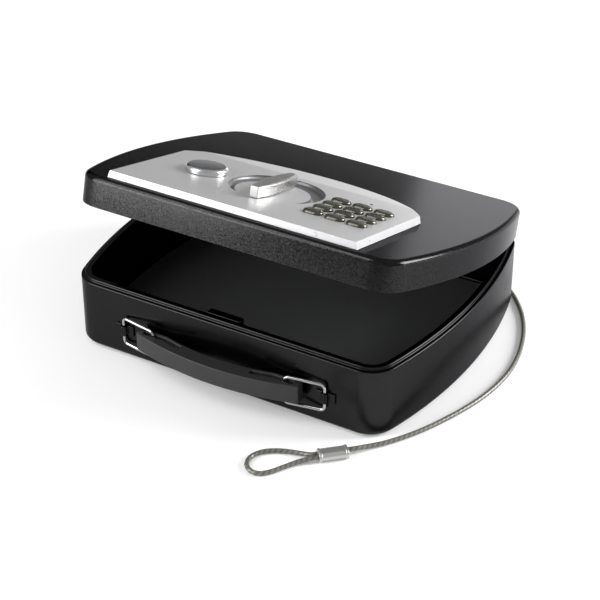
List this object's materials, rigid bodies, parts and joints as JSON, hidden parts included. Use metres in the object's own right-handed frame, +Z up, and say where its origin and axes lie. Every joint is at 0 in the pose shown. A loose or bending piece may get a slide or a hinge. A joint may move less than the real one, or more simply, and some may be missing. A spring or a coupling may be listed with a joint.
{
  "type": "portable car safe",
  "caption": "Flat steel case with a hinged lid, a keypad and turn-lever lock on a raised plate, a front carrying handle and a looped tether cable.",
  "frame": {"origin": "middle of the underside of the case and handle, on the ground under the feet", "axes": "+X to the right seen from the front, +Y from the handle towards the hinge, +Z up"},
  "size_m": [0.3179, 0.3805, 0.143],
  "materials": {
    "black_steel": "textured powder coat",
    "silver_plate": "brushed satin",
    "nickel": "satin nickel",
    "chrome_wire": "polished",
    "zinc": "zinc plated",
    "key_plastic": "metallised",
    "rubber": "matt",
    "black_plastic": "moulded satin",
    "foam": "closed-cell foam",
    "board_green": "solder mask",
    "cell_skin": null,
    "coated_rope": "steel rope in a clear coat",
    "ferrule_metal": "pressed"
  },
  "bodies": {
    "base": {"base_shell": "black_steel", "strike_box": "black_steel", "floor_liner": "foam", "foot_1": "rubber", "foot_2": "rubber", "foot_3": "rubber", "foot_4": "rubber", "hinge_base_leaf": "black_steel", "hinge_pin": "zinc", "handle_staple_left": "black_steel", "handle_staple_right": "black_steel", "cable_bush": "rubber", "cable_stop": "ferrule_metal", "cable_lead": "coated_rope", "cable_run": "coated_rope", "cable_eye": "coated_rope", "cable_coil": "coated_rope", "cable_ferrule": "ferrule_metal"},
    "lid": {"lid_shell": "black_steel", "hinge_lid_leaf": "black_steel", "control_panel": "silver_plate", "keypad_mat": "rubber", "bolt_guide": "black_plastic", "solenoid_body": "zinc", "lock_cover": "black_plastic", "cover_screw_1": "zinc", "cover_screw_2": "zinc", "cover_screw_3": "zinc", "cover_screw_4": "zinc", "battery_tray": "black_plastic", "battery_cell_1": "cell_skin", "battery_cell_2": "cell_skin", "battery_cell_3": "cell_skin", "battery_cell_4": "cell_skin", "circuit_board": "board_green", "key_lock_body": "nickel"},
    "lever": {"latch_lever": "nickel", "latch_shaft": "zinc", "latch_cam": "zinc"},
    "bolt": {"latch_bolt": "zinc"},
    "plunger": {"solenoid_plunger": "nickel"},
    "plug": {"key_plug": "nickel"},
    "cap": {"lock_cap": "silver_plate"},
    "door": {"battery_door": "black_plastic"},
    "key_one": {"key_1": "key_plastic"},
    "key_two": {"key_2": "key_plastic"},
    "key_three": {"key_3": "key_plastic"},
    "key_four": {"key_4": "key_plastic"},
    "key_five": {"key_5": "key_plastic"},
    "key_six": {"key_6": "key_plastic"},
    "key_seven": {"key_7": "key_plastic"},
    "key_eight": {"key_8": "key_plastic"},
    "key_nine": {"key_9": "key_plastic"},
    "key_of_clear": {"key_clear": "key_plastic"},
    "key_zero": {"key_0": "key_plastic"},
    "key_of_enter": {"key_enter": "key_plastic"},
    "handle": {"handle_strap": "black_plastic"},
    "ring_left": {"handle_ring_left": "chrome_wire"},
    "ring_right": {"handle_ring_right": "chrome_wire"}
  },
  "joints": [
    {"name": "lid_hinge", "type": "hinge", "parent": "base", "child": "lid", "pos_m": [0, 0.12499, 0.0555], "axis": [-1, 0, 0], "range_deg": [-15.2, 79.8]},
    {"name": "lever_turn", "type": "hinge", "parent": "lid", "child": "lever", "pos_m": [-0.0025, -0.02757, 0.1271], "axis": [0, 0.2622, 0.965], "range_deg": [0, 90]},
    {"name": "bolt_slide", "type": "slide", "parent": "lid", "child": "bolt", "axis": [0, -0.965, 0.2622], "range_m": [0, 0.0048]},
    {"name": "plunger_slide", "type": "slide", "parent": "lid", "child": "plunger", "axis": [-1, 0, 0], "range_m": [0, 0.004]},
    {"name": "plug_turn", "type": "hinge", "parent": "lid", "child": "plug", "pos_m": [-0.0615, -0.02516, 0.12645], "axis": [0, 0.2622, 0.965], "range_deg": [0, 90]},
    {"name": "cap_lift", "type": "slide", "parent": "lid", "child": "cap", "axis": [0, 0.2622, 0.965], "range_m": [0, 0.012]},
    {"name": "door_slide", "type": "slide", "parent": "lid", "child": "door", "axis": [1, 0, 0], "range_m": [0, 0.05]},
    {"name": "press_1", "type": "slide", "parent": "lid", "child": "key_one", "axis": [0, -0.2622, -0.965], "range_m": [0, 0.0008], "stiffness_N_per_m": 400, "springref_m": -0.001},
    {"name": "press_2", "type": "slide", "parent": "lid", "child": "key_two", "axis": [0, -0.2622, -0.965], "range_m": [0, 0.0008], "stiffness_N_per_m": 400, "springref_m": -0.001},
    {"name": "press_3", "type": "slide", "parent": "lid", "child": "key_three", "axis": [0, -0.2622, -0.965], "range_m": [0, 0.0008], "stiffness_N_per_m": 400, "springref_m": -0.001},
    {"name": "press_4", "type": "slide", "parent": "lid", "child": "key_four", "axis": [0, -0.2622, -0.965], "range_m": [0, 0.0008], "stiffness_N_per_m": 400, "springref_m": -0.001},
    {"name": "press_5", "type": "slide", "parent": "lid", "child": "key_five", "axis": [0, -0.2622, -0.965], "range_m": [0, 0.0008], "stiffness_N_per_m": 400, "springref_m": -0.001},
    {"name": "press_6", "type": "slide", "parent": "lid", "child": "key_six", "axis": [0, -0.2622, -0.965], "range_m": [0, 0.0008], "stiffness_N_per_m": 400, "springref_m": -0.001},
    {"name": "press_7", "type": "slide", "parent": "lid", "child": "key_seven", "axis": [0, -0.2622, -0.965], "range_m": [0, 0.0008], "stiffness_N_per_m": 400, "springref_m": -0.001},
    {"name": "press_8", "type": "slide", "parent": "lid", "child": "key_eight", "axis": [0, -0.2622, -0.965], "range_m": [0, 0.0008], "stiffness_N_per_m": 400, "springref_m": -0.001},
    {"name": "press_9", "type": "slide", "parent": "lid", "child": "key_nine", "axis": [0, -0.2622, -0.965], "range_m": [0, 0.0008], "stiffness_N_per_m": 400, "springref_m": -0.001},
    {"name": "press_clear", "type": "slide", "parent": "lid", "child": "key_of_clear", "axis": [0, -0.2622, -0.965], "range_m": [0, 0.0008], "stiffness_N_per_m": 400, "springref_m": -0.001},
    {"name": "press_0", "type": "slide", "parent": "lid", "child": "key_zero", "axis": [0, -0.2622, -0.965], "range_m": [0, 0.0008], "stiffness_N_per_m": 400, "springref_m": -0.001},
    {"name": "press_enter", "type": "slide", "parent": "lid", "child": "key_of_enter", "axis": [0, -0.2622, -0.965], "range_m": [0, 0.0008], "stiffness_N_per_m": 400, "springref_m": -0.001},
    {"name": "handle_slide", "type": "slide", "parent": "base", "child": "handle", "axis": [0, -1, 0], "range_m": [-0.0024, 0.013]},
    {"name": "ring_left_swing", "type": "hinge", "parent": "base", "child": "ring_left", "pos_m": [-0.0835, -0.10801, 0.02575], "axis": [0, 0, -1], "range_deg": [-5, 27]},
    {"name": "ring_right_swing", "type": "hinge", "parent": "base", "child": "ring_right", "pos_m": [0.0875, -0.10801, 0.02575], "axis": [0, 0, 1], "range_deg": [-5, 27]}
  ],
  "couplings": [
    {"joint": "lever_turn", "follows": "bolt_slide", "rad_per_m": 327.25},
    {"joint": "ring_left_swing", "follows": "handle_slide", "rad_per_m": 35.3},
    {"joint": "ring_right_swing", "follows": "handle_slide", "rad_per_m": 35.3}
  ]
}
